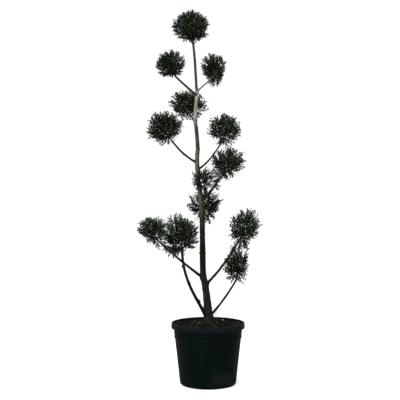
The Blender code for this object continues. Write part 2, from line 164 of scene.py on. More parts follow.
# Knots and swellings: limb, height, which way it faces, size, how far it stands out
KNOTS = (
    ("trunk", 1.182, (1.0, -0.6, 0.0), 0.0035, 0.0030),
    ("trunk", 0.604, (1.0, -0.2, 0.0), 0.0050, 0.0022),
    ("trunk", 0.560, (1.0, -0.3, 0.0), 0.0050, 0.0018),
    ("trunk", 0.461, (1.0, -0.3, 0.0), 0.0080, 0.0050),
    ("trunk", 0.350, (-1.0, -0.5, 0.0), 0.0090, 0.0050),
    ("trunk", 1.350, (1.0, 0.3, 0.0), 0.0060, 0.0028),
    ("trunk", 0.870, (-1.0, -0.3, 0.0), 0.0060, 0.0030),
    ("lower_left", 0.385, (1.0, -0.2, 0.5), 0.0070, 0.0062),
    ("lower_left", 0.548, (-1.0, -0.2, 0.2), 0.0045, 0.0050),
    ("lower_left", 0.470, (1.0, -0.5, 0.2), 0.0060, 0.0016),
    ("lower_right", 0.545, (-0.6, -0.4, 0.6), 0.0060, 0.0016),
    ("lower_far_left", 0.560, (0.4, -0.6, 0.6), 0.0060, 0.0014),
    ("middle_left", 1.060, (-0.5, -0.4, -0.6), 0.0060, 0.0012),
)

# Pompons: centre, half width, half height, tufts, sprays in a tuft, sprays inside, openness, seed
POMPONS = {
    "top": ((-0.079, 0.000, 1.656), 0.0823, 0.0730, 125, 5, 240, 0.05, 13),
    "upper_left": ((-0.173, -0.080, 1.464), 0.0655, 0.0625, 108, 5, 240, 0.08, 27),
    "upper_right": ((0.027, 0.100, 1.469), 0.0600, 0.0765, 110, 5, 230, 0.15, 38),
    "upper_back": ((-0.096, 0.100, 1.301), 0.0860, 0.0740, 100, 4, 165, 0.48, 43),
    "middle_left": ((-0.197, -0.100, 1.175), 0.0770, 0.0725, 122, 4, 130, 0.32, 61),
    "middle_right": ((0.083, 0.100, 1.184), 0.0765, 0.0790, 106, 4, 95, 0.50, 66),
    "middle_front": ((0.088, -0.120, 1.012), 0.0715, 0.0690, 115, 4, 110, 0.40, 79),
    "inner_front": ((-0.011, -0.042, 0.934), 0.0600, 0.0590, 80, 4, 45, 0.55, 85),
    "inner_back": ((-0.009, 0.080, 0.821), 0.0800, 0.0720, 90, 4, 55, 0.62, 101),
    "lower_far_left": ((-0.265, 0.120, 0.703), 0.0685, 0.0730, 104, 4, 95, 0.50, 104),
    "lower_left": ((-0.122, -0.130, 0.700), 0.0745, 0.0845, 118, 4, 84, 0.30, 117),
    "lower_right": ((0.169, -0.110, 0.721), 0.0715, 0.0825, 98, 4, 110, 0.40, 132),
    "low_right": ((0.140, 0.130, 0.530), 0.0645, 0.0780, 98, 4, 160, 0.62, 139),
}
# How each pompon's outline departs from its spheroid, seen from the front: direction in degrees
# from +X up towards +Z, and how much further out (or in) its tips lie that way
LOBES = {
    "top": ((320, 0.08), (235, 0.12), (205, 0.04), (125, -0.14), (67, -0.08)),
    "upper_left": (
        (25, 0.10), (45, 0.06), (95, 0.08), (300, 0.14),
        (118, -0.12), (200, 0.02), (157, -0.06),
    ),
    "upper_right": (
        (33, 0.15), (0, -0.10), (90, -0.12), (125, 0.20),
        (215, -0.24), (250, 0.02), (300, 0.22), (325, -0.16),
    ),
    "upper_back": (
        (140, 0.22), (112, -0.16), (190, 0.10), (10, 0.12),
        (33, -0.06), (215, -0.30), (240, 0.24), (320, 0.06),
    ),
    "middle_left": (
        (112, 0.10), (28, 0.16), (50, -0.08), (180, 0.04),
        (240, 0.06), (345, -0.08), (290, 0.12),
    ),
    "middle_right": ((45, 0.02), (100, -0.10), (150, 0.14), (195, 0.06), (240, 0.12), (310, 0.04)),
    "middle_front": ((50, 0.14), (110, 0.10), (155, 0.06), (195, -0.08), (252, 0.16), (325, 0.06)),
    "inner_front": (
        (5, 0.20), (65, 0.30), (100, -0.10), (150, 0.22),
        (180, -0.06), (290, 0.30), (328, 0.24),
    ),
    "inner_back": (
        (75, 0.26), (150, 0.14), (182, 0.08), (208, -0.06),
        (260, 0.16), (345, -0.36), (20, 0.08), (300, 0.14),
    ),
    "lower_far_left": (
        (155, 0.24), (105, -0.08), (188, -0.06), (222, -0.26),
        (275, 0.18), (318, 0.34), (20, 0.06),
    ),
    "lower_left": ((130, 0.22), (82, -0.12), (212, 0.24), (250, 0.34), (332, 0.16), (40, 0.04)),
    "lower_right": (
        (50, 0.14), (95, 0.02), (165, 0.12), (0, -0.08),
        (200, -0.06), (246, 0.34), (285, 0.02), (320, -0.20),
    ),
    "low_right": (
        (78, 0.40), (145, 0.22), (10, -0.10), (190, 0.06),
        (250, 0.10), (300, 0.16), (335, -0.12),
    ),
}
LOBE_FOCUS = 6
SPACE_SLACK = 1.14
LIMB_CLEARANCE = 0.003

# Twigs: reaches and lengths are shares of the pompon's size, places are shares along their parent
STEM_OVERLAP = 0.002
STEM_BEND = 0.35
MAIN_TWIGS = 18
MAIN_JITTER = 0.16
MAIN_REACH = 0.56
SHORTEST_MAIN = 0.01
LOW_FORKS = (0.08, 0.70)
HIGH_FORKS = (0.45, 1.0)
FINE_FORKS = (0.45, 0.85)
TWIG_BOW = 0.04
TWIG_TIP_RADIUS = 0.0007
FINE_TWIG_RADII = (0.0010, 0.0005)

# Tufts: a pompon less open than CLIPPED_OPENNESS is clipped close, and the others are loose
CLIPPED_OPENNESS = 0.25
CLIPPED_REACH = (0.93, 1.06)
LOOSE_REACH = (0.87, 1.09)
CLIPPED_LENGTH = (0.42, 0.54)
LOOSE_LENGTH = (0.56, 0.74)
LONGEST_TUFT = 0.85
FAN_ORIGIN = 0.50
UP_LEAN = 0.22
TUFT_JITTER = 0.09
INSIDE_REACH = (0.15, 0.50)
INSIDE_JITTER = 0.3

# Sprays
SPRAY_KINDS = 6
FINGERS = 4
TEETH = 4

# The side of a pompon where some sprays have browned, and their share
WITHERED = {"upper_back": ((1.0, -0.4, -0.1), 0.45)}

# Leader's fork where it enters the top pompon: how far each arm reaches
FORK_ARMS = ((-0.022, -0.006, 0.023), (0.017, -0.008, 0.015))

# What is strewn over the soil: count, sizes, seed, how far each tips over, how far its middle
# stands above the soil in sizes, its gap to the rim, its dark and pale colours, and fleck scale
LITTER = {
    "compost_crumbs": (1500, (0.0012, 0.0042), 31, 1.5, 0.2, 0.010, (3, 3, 3), (21, 21, 17), 70.0),
    "bark_chips": (260, (0.004, 0.011), 47, 0.28, 0.12, 0.014, (5, 5, 4), (40, 39, 32), 70.0),
    "pale_grit": (60, (0.0012, 0.0026), 53, 1.5, 0.3, 0.010, (80, 78, 70), (130, 126, 116), 700.0),
}
LITTER_TO_TRUNK = 0.0225

# Light chips that stand out on the soil: place, turn in degrees, half length
PALE_CHIPS = (
    (-0.041, 0.002, -25, 0.0070),
    (0.072, 0.090, -32, 0.0085),
    (0.148, 0.030, 35, 0.0045),
)
PALE_CHIP_TILT = math.radians(58)
CHIP_OUTLINE = (
    (-1.0, -0.18), (-0.7, -0.34), (0.5, -0.30), (1.0, -0.10),
    (0.8, 0.26), (-0.2, 0.36), (-0.9, 0.20),
)

# Brown sprays that have dropped: how many, how near and far they lie, their lengths, cords in each
FALLEN = 260
FALLEN_TO_TRUNK = 0.022
FALLEN_TO_RIM = 0.022
FALLEN_SPREAD = 0.065
FALLEN_LIFT = 0.0022
FALLEN_LENGTH = (0.010, 0.022)
FALLEN_CORDS = 9

# Patches of moss on the left of the soil: place, spread and count
MOSS_PATCHES = (
    (-0.092, 0.030, 0.026, 190),
    (-0.070, -0.050, 0.016, 110),
    (-0.030, 0.105, 0.018, 90),
)
MOSS_TO_TRUNK = 0.030
MOSS_TO_RIM = 0.012
MOSS_ROOT = 0.0005
MOSS_LENGTH = (0.003, 0.007)
MOSS_CORDS = 8

# Wisps of grass: how many, where the first stands, how far apart, and their heights and radii
WISPS = 4
WISP_FOOT = (0.030, 0.020)
WISP_STEP = (0.006, -0.007)
WISP_HEIGHT = (0.052, 0.078)
WISP_RADII = (0.0011, 0.0007)


def linear(red, green, blue):
    """A screen colour from 0 to 255 as the renderer's linear one."""
    return tuple(
        value / 12.92 if value <= 0.04045 else ((value + 0.055) / 1.055) ** 2.4
        for value in (red / 255, green / 255, blue / 255)
    )


def paint(red, green, blue):
    """The same with the fourth number that a colour socket takes."""
    return (*linear(red, green, blue), 1.0)


def grey(value):
    return (value, value, value)


class Wire:
    """A shader socket that works in sums. make() adds any other node to the same tree."""

    def __init__(self, tree, socket=None):
        self.tree = tree
        self.socket = socket

    def make(self, kind, settings=None, inputs=None, stops=None, output=0):
        node = self.tree.nodes.new(kind)
        for name, value in (settings or {}).items():
            setattr(node, name, value)
        for number, (place, colour) in enumerate(stops or ()):
            elements = node.color_ramp.elements
            element = elements[number] if number < len(elements) else elements.new(place)
            element.position = place
            element.color = (*colour, 1.0)
        for name, value in (inputs or {}).items():
            if isinstance(value, Wire):
                self.tree.links.new(value.socket, node.inputs[name])
            else:
                node.inputs[name].default_value = value
        return Wire(self.tree, node.outputs[output])

    def sum(self, operation, first, second):
        return self.make("ShaderNodeMath", {"operation": operation}, {0: first, 1: second})

    def __add__(self, other):
        return self.sum("ADD", self, other)

    def __rsub__(self, other):
        return self.sum("SUBTRACT", other, self)

    def __mul__(self, other):
        return self.sum("MULTIPLY", self, other)

    __radd__ = __add__
    __rmul__ = __mul__

    def step(self, low, high):
        """0 below low, 1 above high, and smooth between."""
        inputs = {"Value": self, "From Min": low, "From Max": high}
        return self.make("ShaderNodeMapRange", {"interpolation_type": "SMOOTHSTEP"}, inputs)

    def between(self, first, second):
        """The first colour where the wire is 0, the second where it is 1."""
        wires = {0: self, 6: first, 7: second}
        return self.make("ShaderNodeMix", {"data_type": "RGBA"}, wires, output=2)

    def shaded(self, value, saturation):
        """The colour made lighter or darker, and a little greyer or stronger."""
        inputs = {"Color": self, "Value": value, "Saturation": saturation}
        return self.make("ShaderNodeHueSaturation", None, inputs)

    def noise(self, coordinates, scale, detail, roughness):
        inputs = {"Vector": coordinates, "Scale": scale, "Detail": detail, "Roughness": roughness}
        return self.make("ShaderNodeTexNoise", None, inputs)

    def stretched(self, coordinates, scale):
        """Coordinates drawn out by a scale for each axis."""
        return self.make("ShaderNodeMapping", None, {"Vector": coordinates, "Scale": scale})


def new_finish(name, colour, roughness, **sockets):
    """A plain finish: a material, its tree as a wire, and its shader."""
    made = bpy.data.materials.new(name)
    made.use_nodes = True
    shader = made.node_tree.nodes["Principled BSDF"]
    shader.inputs["Base Color"].default_value = (*colour, 1.0)
    shader.inputs["Roughness"].default_value = roughness
    for socket, value in sockets.items():
        shader.inputs[socket.replace("_", " ")].default_value = value
    return made, Wire(made.node_tree), shader


def wear(made, wire, shader, colour=None, roughness=None, height=None, depth=0.001):
    """Feeds a finish its varying colour, roughness and relief."""
    tree = made.node_tree
    if colour:
        tree.links.new(colour.socket, shader.inputs["Base Color"])
    if roughness:
        tree.links.new(roughness.socket, shader.inputs["Roughness"])
    if height:
        bump = wire.make("ShaderNodeBump", None, {"Height": height, "Distance": depth, "Strength": 1.0})
        tree.links.new(bump.socket, shader.inputs["Normal"])
    return made


def object_coordinates(wire):
    return wire.make("ShaderNodeTexCoord", output=3)


def axis_of(wire, coordinates, number):
    """One of the three numbers in a place: 0 is X, 1 is Y and 2 is Z."""
    return wire.make("ShaderNodeSeparateXYZ", None, {0: coordinates}, output=number)


def bark_finish(name, tones, low, high, streaks):
    """Thin fibrous bark that changes colour with height, with pale scales, cracks and painted shade.

    The fibres follow the limb: its skin attribute holds which way each point faces and how far
    along the limb it is. Painted shade, by height, runs in streaks down the side facing away from the
    light.
    """
    stops = [(share, linear(*tone)) for share, *tone in tones]
    side_shade_stops = [(share, grey(strength)) for share, strength in streaks]
    made, wire, shader = new_finish(name, (0.1, 0.1, 0.08), 0.85, Specular_IOR_Level=0.03)
    place = object_coordinates(wire)
    skin = wire.make("ShaderNodeAttribute", {"attribute_name": "skin"}, output=1)
    share = axis_of(wire, place, 2).step(low, high)
    share.socket.node.interpolation_type = "LINEAR"
    tone = wire.make("ShaderNodeValToRGB", None, {"Fac": share}, stops)
    side_shade_strength = wire.make("ShaderNodeValToRGB", None, {"Fac": share}, side_shade_stops)
    fibres = wire.noise(wire.stretched(skin, (0.010, 0.010, 0.10)), 420.0, 5.0, 0.65)
    strips = wire.noise(wire.stretched(skin, (0.9, 0.9, 22.0)), 2.2, 3.0, 0.6)
    scales = wire.noise(wire.stretched(place, (1.0, 1.0, 0.45)), 95.0, 3.0, 0.6)
    blotches = wire.noise(place, 26.0, 2.0, 0.5)
    rough = axis_of(wire, place, 2).step(0.95, 0.75)
    cracks = fibres.step(0.52, 0.36)
    pale = scales.step(0.50, 0.68) * (0.65 + rough * 0.25)
    # Painted shade: streaks that darken the right side of each limb, which faces away from the key light
    away = (axis_of(wire, skin, 0) * 0.35 + strips).step(0.42, 0.66) * side_shade_strength
    specks = wire.noise(wire.stretched(place, (1.0, 1.0, 0.6)), 150.0, 2.0, 0.5).step(0.54, 0.64)
    marks = blotches.step(0.50, 0.64) * 0.4 + cracks * (0.5 + rough * 0.5) + specks * (0.55 + rough * 0.3)
    # The bark's own dark marks and the painted side shade, together
    dark = (marks + away).step(0.0, 1.3)
    colour = dark.between(pale.between(tone, tone.shaded(1.6, 0.95)), tone.shaded(0.30, 1.05))
    height = fibres * 0.6 + scales * 0.8
    return wear(made, wire, shader, colour, 0.95 - 0.2 * scales, height, 0.0009)


# Bark colours by height, as a share of the way up and a screen colour
TRUNK_TONES = (
    (0.00, 17, 17, 13), (0.015, 31, 30, 23), (0.17, 27, 27, 20), (0.20, 21, 22, 16),
    (0.34, 21, 22, 16), (0.38, 45, 44, 33), (0.45, 70, 67, 52), (0.56, 84, 81, 70),
    (0.60, 80, 77, 68), (0.63, 58, 56, 50), (0.70, 60, 58, 51), (0.735, 112, 109, 98),
    (0.80, 134, 130, 118), (0.825, 96, 93, 84), (0.84, 52, 50, 44), (1.00, 54, 52, 46),
)
BOUGH_TONES = (
    (0.00, 22, 22, 18), (0.35, 26, 26, 21), (0.70, 32, 31, 26), (0.90, 44, 41, 36), (0.95, 62, 58, 51),
)
PALE_BOUGH_TONES = ((0.00, 92, 88, 78), (0.48, 86, 82, 72), (0.60, 54, 51, 44), (0.80, 36, 35, 29))
# How strong the painted shade is on the side facing away from the light, by the same shares
TRUNK_SIDE_SHADE = (
    (0.00, 0.30), (0.35, 0.40), (0.40, 1.00), (0.50, 1.00), (0.60, 0.80),
    (0.70, 0.70), (0.74, 0.25), (0.83, 0.25), (0.86, 0.95), (1.00, 0.85),
)
BOUGH_SIDE_SHADE = ((0.0, 0.15), (1.0, 0.35))


def trunk_bark():
    return bark_finish("trunk bark", TRUNK_TONES, 0.27, 1.58, TRUNK_SIDE_SHADE)


def bough_bark():
    return bark_finish("bough bark", BOUGH_TONES, 0.27, 1.45, BOUGH_SIDE_SHADE)


def pale_bough_bark():
    """The upper right bough, pale where it leaves the trunk and dark in its pompon's shade."""
    return bark_finish("pale bough bark", PALE_BOUGH_TONES, 1.35, 1.46, BOUGH_SIDE_SHADE)


def pot_finish():
    """Black moulded plastic, paler round the rim as painted highlight, dusty at its foot, faint scuffs.
    """
    black = linear(6, 10, 10)
    made, wire, shader = new_finish("black pot plastic", black, 0.55, Specular_IOR_Level=0.008)
    place = object_coordinates(wire)
    height = axis_of(wire, place, 2)
    right = axis_of(wire, place, 0)
    front = axis_of(wire, place, 1).step(-0.03, -0.08)
    cloud = wire.noise(place, 9.0, 4.0, 0.6)
    streaks = wire.noise(wire.stretched(place, (1.0, 1.0, 0.12)), 60.0, 4.0, 0.6)
    specks = wire.noise(place, 420.0, 2.0, 0.5)
    foot = height.step(0.08, 0.0) * cloud.step(0.38, 0.62)
    splashes = specks.step(0.64, 0.72) * (foot * 0.6 + 0.08)
    dust = foot * 0.16 + streaks.step(0.52, 0.72) * 0.05 + cloud.step(0.5, 0.75) * 0.05
    # Painted highlight: a paler band round the top of the rim stands in for the plastic's sheen
    rim = height.step(0.236, 0.266) * (0.6 + streaks * 0.6)
    painted_rim_highlight = rim.between(paint(3, 8, 8), paint(13, 15, 17))
    dusty = dust.between(painted_rim_highlight, paint(30, 33, 31))
    splashed = splashes.between(dusty, paint(34, 34, 29))
    sides = right.step(0.005, 0.035) * right.step(0.120, 0.085)
    patch = sides * front * height.step(0.018, 0.034) * height.step(0.082, 0.058)
    rubs = wire.noise(wire.stretched(place, (1.0, 1.0, 2.6)), 210.0, 4.0, 0.7)
    scuffs = patch * rubs.step(0.46, 0.66) * 0.32
    colour = scuffs.between(splashed, paint(52, 54, 50))
    roughness = 0.50 + dust * 0.9 + specks * 0.06
    grain = wire.noise(place, 900.0, 2.0, 0.5)
    return wear(made, wire, shader, colour, roughness, grain * 0.5 + streaks * 0.5, 0.0002)


def soil_finish():
    """Dark moist compost with paler crumbs and green algae in patches."""
    made, wire, shader = new_finish("potting soil", linear(10, 9, 7), 0.95, Specular_IOR_Level=0.01)
    place = object_coordinates(wire)
    crumbs = wire.noise(place, 260.0, 5.0, 0.7)
    clods = wire.noise(place, 75.0, 3.0, 0.6)
    patches = wire.noise(place, 17.0, 3.0, 0.55)
    pale = crumbs.step(0.40, 0.66) * clods.step(0.40, 0.60)
    green = patches.step(0.52, 0.62) * clods.step(0.45, 0.60)
    colour = green.between(pale.between(paint(4, 4, 3), paint(17, 16, 12)), paint(13, 18, 10))
    return wear(made, wire, shader, colour, 0.98 - 0.15 * crumbs, crumbs, 0.002)


def speckled_finish(name, dark, pale, scale):
    """A rough natural finish between two colours."""
    made, wire, shader = new_finish(name, dark, 0.9, Specular_IOR_Level=0.01)
    fleck = wire.noise(object_coordinates(wire), scale, 3.0, 0.6)
    colour = fleck.step(0.42, 0.60).between((*dark, 1.0), (*pale, 1.0))
    return wear(made, wire, shader, colour, None, fleck, 0.0004)


def foliage_finishes():
    """Plain greens and browns that are dealt out by spray, a spray's tips one step paler."""
    tones = {
        "shaded green": (10, 13, 9),
        "deep green": (16, 21, 15),
        "blue green": (25, 32, 27),
        "middle green": (38, 47, 34),
        "tip green": (56, 68, 46),
        "olive": (46, 46, 30),
        "withered brown": (34, 28, 20),
        "yellow green": (68, 76, 42),
    }
    return [
        new_finish("cypress " + name, linear(*tone), 0.6, Specular_IOR_Level=0.03)[0]
        for name, tone in tones.items()
    ]


# The tones by number, and the paler one that each gives a spray's tips
SHADED, DEEP, BLUE, MIDDLE, TIP, OLIVE, BROWN, YELLOW = range(8)
PALER = np.array([DEEP, MIDDLE, MIDDLE, TIP, TIP, YELLOW, OLIVE, YELLOW])


def select_none():
    bpy.ops.object.select_all(action="DESELECT")


def select_only(piece):
    select_none()
    piece.select_set(True)
    bpy.context.view_layer.objects.active = piece


def add_object(name, data):
    made = bpy.data.objects.new(name, data)
    bpy.context.collection.objects.link(made)
    return made


def finish_piece(piece, name, finish, nodes=(), smooth=None):
    """Names a finished piece, gives it its finish and rides it on the plant's one body."""
    piece.name = name
    piece.data.name = name
    if finish:
        piece.data.materials.clear()
        piece.data.materials.append(finish)
    if smooth:
        select_only(piece)
        bpy.ops.object.shade_smooth_by_angle(angle=math.radians(smooth))
    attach(piece, "root")
    if nodes:
        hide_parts(*nodes)


def draw_rings(rings, sides):
    """Models a round solid from its bottom face, extruding and scaling it from ring to ring."""
    select_none()
    radius, height = rings[0]
    middle = (0, 0, height)
    bpy.ops.mesh.primitive_circle_add(vertices=sides, radius=radius, fill_type="NGON", location=middle)
    piece = bpy.context.object
    select_only(piece)
    bpy.ops.object.transform_apply(location=True, rotation=True, scale=True)
    bpy.ops.object.mode_set(mode="EDIT")
    bpy.ops.mesh.select_all(action="SELECT")
    for next_radius, next_height in rings[1:]:
        bpy.ops.mesh.extrude_region_move(TRANSFORM_OT_translate={"value": (0, 0, next_height - height)})
        share = next_radius / radius
        bpy.ops.transform.resize(value=(share, share, 1), center_override=(0, 0, next_height))
        radius, height = next_radius, next_height
    bpy.ops.mesh.select_all(action="SELECT")
    bpy.ops.mesh.normals_make_consistent(inside=False)
    bpy.ops.object.mode_set(mode="OBJECT")
    return piece


def arc(radius, height, size, start, end, steps):
    """Rings along a round edge about a centre at a radius and height, from one angle to another."""
    for step in range(steps + 1):
        angle = math.radians(start + (end - start) * step / steps)
        yield (radius + size * math.cos(angle), height + size * math.sin(angle))


def line(first, last, steps):
    """Rings along a straight wall, without its ends."""
    for step in range(1, steps):
        share = step / steps
        yield tuple(a + (b - a) * share for a, b in zip(first, last))


def pot_inner_wall():
    return [
        (UNDERSIDE_RADIUS - POT_WALL, POT_FLOOR),
        (WALL_FOOT_RADIUS - POT_WALL, FOOT_HEIGHT + POT_WALL),
        (WALL_TOP_RADIUS - POT_WALL, COLLAR_FOOT - POT_WALL),
        (COLLAR_RADIUS - POT_WALL, COLLAR_FOOT + POT_WALL),
    ]


def pot_rings():
    """The pot's skin from the underside up the outside, over the lip and down the inside."""
    lip = POT_WALL
    skirt_foot = POT_HEIGHT - RIM_DROP
    foot = (WALL_FOOT_RADIUS, FOOT_HEIGHT)
    shoulder = (WALL_TOP_RADIUS, COLLAR_FOOT - 2 * lip)
    rings = [(HUB_RADIUS, 0.0), (UNDERSIDE_RADIUS, 0.0)]
    for step in range(1, 7):
        turn = math.radians(15 * step)
        inset = (WALL_FOOT_RADIUS - UNDERSIDE_RADIUS) * math.sin(turn)
        rings += [(UNDERSIDE_RADIUS + inset, FOOT_HEIGHT * (1 - math.cos(turn)))]
    rings += list(line(foot, shoulder, 8)) + [shoulder]
    rings += [(WALL_TOP_RADIUS + 0.0006, COLLAR_FOOT - lip)]
    rings += arc(COLLAR_RADIUS - COLLAR_EDGE, COLLAR_FOOT, COLLAR_EDGE, -70, 0, 4)
    rings += [(COLLAR_RADIUS + out, COLLAR_FOOT + rise) for out, rise in COLLAR_STEPS]
    under_rim = POT_HEIGHT - 2 * lip
    rings += [(RIM_INNER_RADIUS + lip, under_rim), (RIM_RADIUS - 1.5 * lip, under_rim)]
    rings += [(RIM_RADIUS - lip, skirt_foot + 0.0008)]
    rings += arc(RIM_RADIUS - 0.5 * lip, skirt_foot + 0.0009, 0.5 * lip, 200, 360, 6)
    rings += [(RIM_RADIUS - RIM_DRAFT, skirt_foot + 0.010)]
    rings += arc(RIM_RADIUS - 2 * RIM_DRAFT - RIM_ROUND, POT_HEIGHT - RIM_ROUND, RIM_ROUND, 0, 90, 6)
    inner_edge = RIM_INNER_RADIUS + RIM_INNER_ROUND
    rings += arc(inner_edge, POT_HEIGHT - RIM_INNER_ROUND, RIM_INNER_ROUND, 90, 180, 5)
    rings += [(RIM_INNER_RADIUS, POT_HEIGHT - 0.010)]
    rings += list(reversed(pot_inner_wall())) + [(HUB_RADIUS, POT_FLOOR)]
    return rings


def make_pot():
    pot = draw_rings(pot_rings(), POT_SIDES)
    for number in range(DRAIN_HOLES):
        angle = 2 * math.pi * (number + 0.5) / DRAIN_HOLES
        select_none()
        place = (DRAIN_CIRCLE * math.cos(angle), DRAIN_CIRCLE * math.sin(angle), 0)
        size = {"radius": DRAIN_RADIUS, "depth": 4 * POT_FLOOR}
        bpy.ops.mesh.primitive_cylinder_add(vertices=24, location=place, **size)
        punch = bpy.context.object
        bpy.context.view_layer.objects.active = pot
        hole = pot.modifiers.new("Drain hole", "BOOLEAN")
        hole.object = punch
        bpy.ops.object.modifier_apply(modifier=hole.name)
        bpy.data.objects.remove(punch)
    finish_piece(pot, "nursery_pot", pot_finish(), ["pot"], smooth=35)


def ground_height(x, y):
    """Height of the soil's lumpy surface, a little higher round the trunk."""
    radius = math.hypot(x, y)
    edge = RIM_INNER_RADIUS - SOIL_EDGE
    base = SOIL_TOP - SOIL_FALL * min(1.0, radius / edge) ** 1.5
    mound = SOIL_MOUND * math.exp(-((radius / SOIL_MOUND_RADIUS) ** 2))
    fade = min(1.0, max(0.15, (edge - radius) / SOIL_EDGE_FADE))
    place = Vector((x * SOIL_LUMP_SCALE, y * SOIL_LUMP_SCALE, 3.1))
    lumps = noise.fractal(place, 0.7, 2.1, 4) * SOIL_LUMPS * fade
    return base + mound + min(SOIL_LUMPS, lumps)


def make_soil(finish):
    wall = [(radius - SOIL_GAP, height + SOIL_REST) for radius, height in pot_inner_wall()]
    edge = (RIM_INNER_RADIUS - 2 * SOIL_GAP, SOIL_TOP - SOIL_FALL)
    top = [(edge[0] * (1 - step / SOIL_RINGS), edge[1]) for step in range(1, SOIL_RINGS)]
    rings = [(HUB_RADIUS, POT_FLOOR + SOIL_REST)] + wall + [edge] + top
    soil = draw_rings(rings, SOIL_SIDES)
    for vertex in soil.data.vertices:
        if vertex.co.z > SOIL_TOP - SOIL_FALL - 0.001:
            vertex.co.z = ground_height(vertex.co.x, vertex.co.y)
    finish_piece(soil, "potting_soil", finish, ["soil"], smooth=80)


def smooth_point(a, b, c, d, t):
    """Values at t between b and c on the smooth curve through a, b, c and d."""
    return tuple(
        0.5 * (2 * q + (r - p) * t + (2 * p - 5 * q + 4 * r - s) * t**2 + (3 * q - p - 3 * r + s) * t**3)
        for p, q, r, s in zip(a, b, c, d)
    )


def trunk_path():
    """Points and radii up the trunk, smooth through its stations."""
    rows = TRUNK_STATIONS[:1] + TRUNK_STATIONS + TRUNK_STATIONS[-1:]
    path = []
    for around in zip(rows, rows[1:], rows[2:], rows[3:]):
        steps = math.ceil((around[2][0] - around[1][0]) / RING_SPACING)
        for step in range(steps):
            z, x, y, radius = smooth_point(*around, step / steps)
            path.append((Vector((x, y, z)), radius))
    z, x, y, radius = rows[-1]
    return path + [(Vector((x, y, z)), radius)]


def trunk_at(height):
    """Point on the trunk's axis at a height."""
    path = trunk_path()
    for (low, _), (high, _) in zip(path, path[1:]):
        if low.z <= height <= high.z:
            return low.lerp(high, (height - low.z) / (high.z - low.z))
    raise ValueError(f"the trunk doesn't reach {height}")


def bough_path(height, tip, base_radius, tip_radius, bow, deepest):
    """Points and radii of a bough from the trunk's axis to its tip, bowed to its underside."""
    start = trunk_at(height)
    chord = Vector(tip) - start
    along = chord.normalized()
    under = (along * along.z - UP).normalized()
    steps = math.ceil(chord.length / RING_SPACING)
    path = []
    for step in range(steps + 1):
        t = step / steps
        radius = base_radius + (tip_radius - base_radius) * t
        swell = 1 + COLLAR_SWELL * (1 - t) ** COLLAR_FADE
        sag = t**deepest
        path.append((start + chord * t + under * bow * 4 * sag * (1 - sag), radius * swell))
    return path


def draw_limb(path, sides, relief):
    """A tapering tube along a path, its skin moved in and out by relief(point, out, radius)."""
    curve = bpy.data.curves.new("limb", "CURVE")
    curve.dimensions = "3D"
    curve.bevel_depth = 1.0
    curve.bevel_resolution = (sides - 4) // 2
    spline = curve.splines.new("POLY")
    spline.points.add(len(path) - 1)
    for knot, (point, radius) in zip(spline.points, path):
        knot.co = (*point, 1.0)
        knot.radius = radius
    select_only(add_object("limb", curve))
    bpy.ops.object.convert(target="MESH")
    piece = bpy.context.object
    around = len(piece.data.vertices) // len(path)
    skin = piece.data.attributes.new("skin", "FLOAT_VECTOR", "POINT")
    for index, vertex in enumerate(piece.data.vertices):
        point, radius = path[index // around]
        out = (vertex.co - point).normalized()
        vertex.co = point + out * (radius + relief(vertex.co, out, radius))
        skin.data[index].vector = (out.x, out.y, RING_SPACING * (index // around))
    bpy.ops.object.mode_set(mode="EDIT")
    bpy.ops.mesh.select_all(action="SELECT")
    bpy.ops.mesh.fill_holes(sides=0)
    bpy.ops.mesh.normals_make_consistent(inside=False)
    bpy.ops.object.mode_set(mode="OBJECT")
    return piece


def bark_relief(point, out, radius):
    """Stringy ridges along the limb, low swellings and rough scales, over the wood's own size."""
    around = out * 3.5
    strings = noise.fractal(Vector((around.x, around.y, around.z + point.z * 14)), 0.7, 2.1, 4)
    swell = noise.noise(point * 42 + Vector((7, 3, 1)))
    scale = noise.noise(point * 160 + Vector((2, 9, 4)))
    ridges = radius * (BARK_STRINGS * strings + BARK_SWELLINGS * swell)
    return BARK_THICKNESS + ridges + BARK_SCALES * scale


def knot_places(limb, path):
    """Where each of a limb's knots sits on its skin, with its size and how far it stands out."""
    places = []
    for name, height, way, size, stand in KNOTS:
        if name == limb:
            point, radius = min(path, key=lambda ring: abs(ring[0].z - height))
            places.append((point + Vector(way).normalized() * radius, size, stand))
    return places


def knotted_relief(knots):
    """Bark relief that stands out round each knot, a little hollow in its middle."""

    def relief(point, out, radius):
        total = bark_relief(point, out, radius)
        for place, size, stand in knots:
            apart = (point - place).length_squared / size**2
            total += stand * (math.exp(-apart) - 0.3 * math.exp(-6 * apart))
        return total

    return relief


class Scars:
    """Old pruning scars up the trunk: low rings with a hollow eye, where boughs were cut away."""

    def __init__(self, seed, count):
        chance = random.Random(seed)
        self.marks = []
        for number in range(count):
            height = SCARS_FOOT + SCARS_HEIGHT * (number + chance.uniform(0.1, 0.9)) / count
            turn = chance.uniform(0, 2 * math.pi)
            out = Vector((math.cos(turn), math.sin(turn), 0))
            self.marks.append((height, out, chance.uniform(0.0030, 0.0060)))

    def relief(self, point, out, radius):
        total = 0.0
        for height, side, size in self.marks:
            rise = point.z - height
            if abs(rise) < 3 * size:
                across = radius * (out - side).length
                apart = math.hypot(rise, across) / size
                ring = math.exp(-((apart - 0.75) ** 2) * 5)
                eye = math.exp(-(apart**2) * 6)
                total += 0.30 * size * (ring - 0.6 * eye)
        return total


def trunk_relief(scars, knots, collars):
    """The trunk's bark with root lobes at its foot, scars, knots and a swelling under each bough."""
    bark = knotted_relief(knots)

    def relief(point, out, radius):
        foot = max(0.0, 1 - (point.z - SOIL_TOP) / FLARE_HEIGHT) ** 2
        turn = math.atan2(out.y, out.x)
        lobes = 0.5 * math.cos(3 * turn + 0.9) + 0.35 * math.cos(5 * turn - 1.1) + 0.25
        total = bark(point, out, radius) + foot * lobes * FLARE_LOBES * radius
        total += scars.relief(point, out, radius)
        for place, side, size in collars:
            apart = ((point - place) / (2.6 * size)).length_squared
            total += 0.5 * size * math.exp(-apart) * max(0.0, out.dot(side))
        return total

    return relief


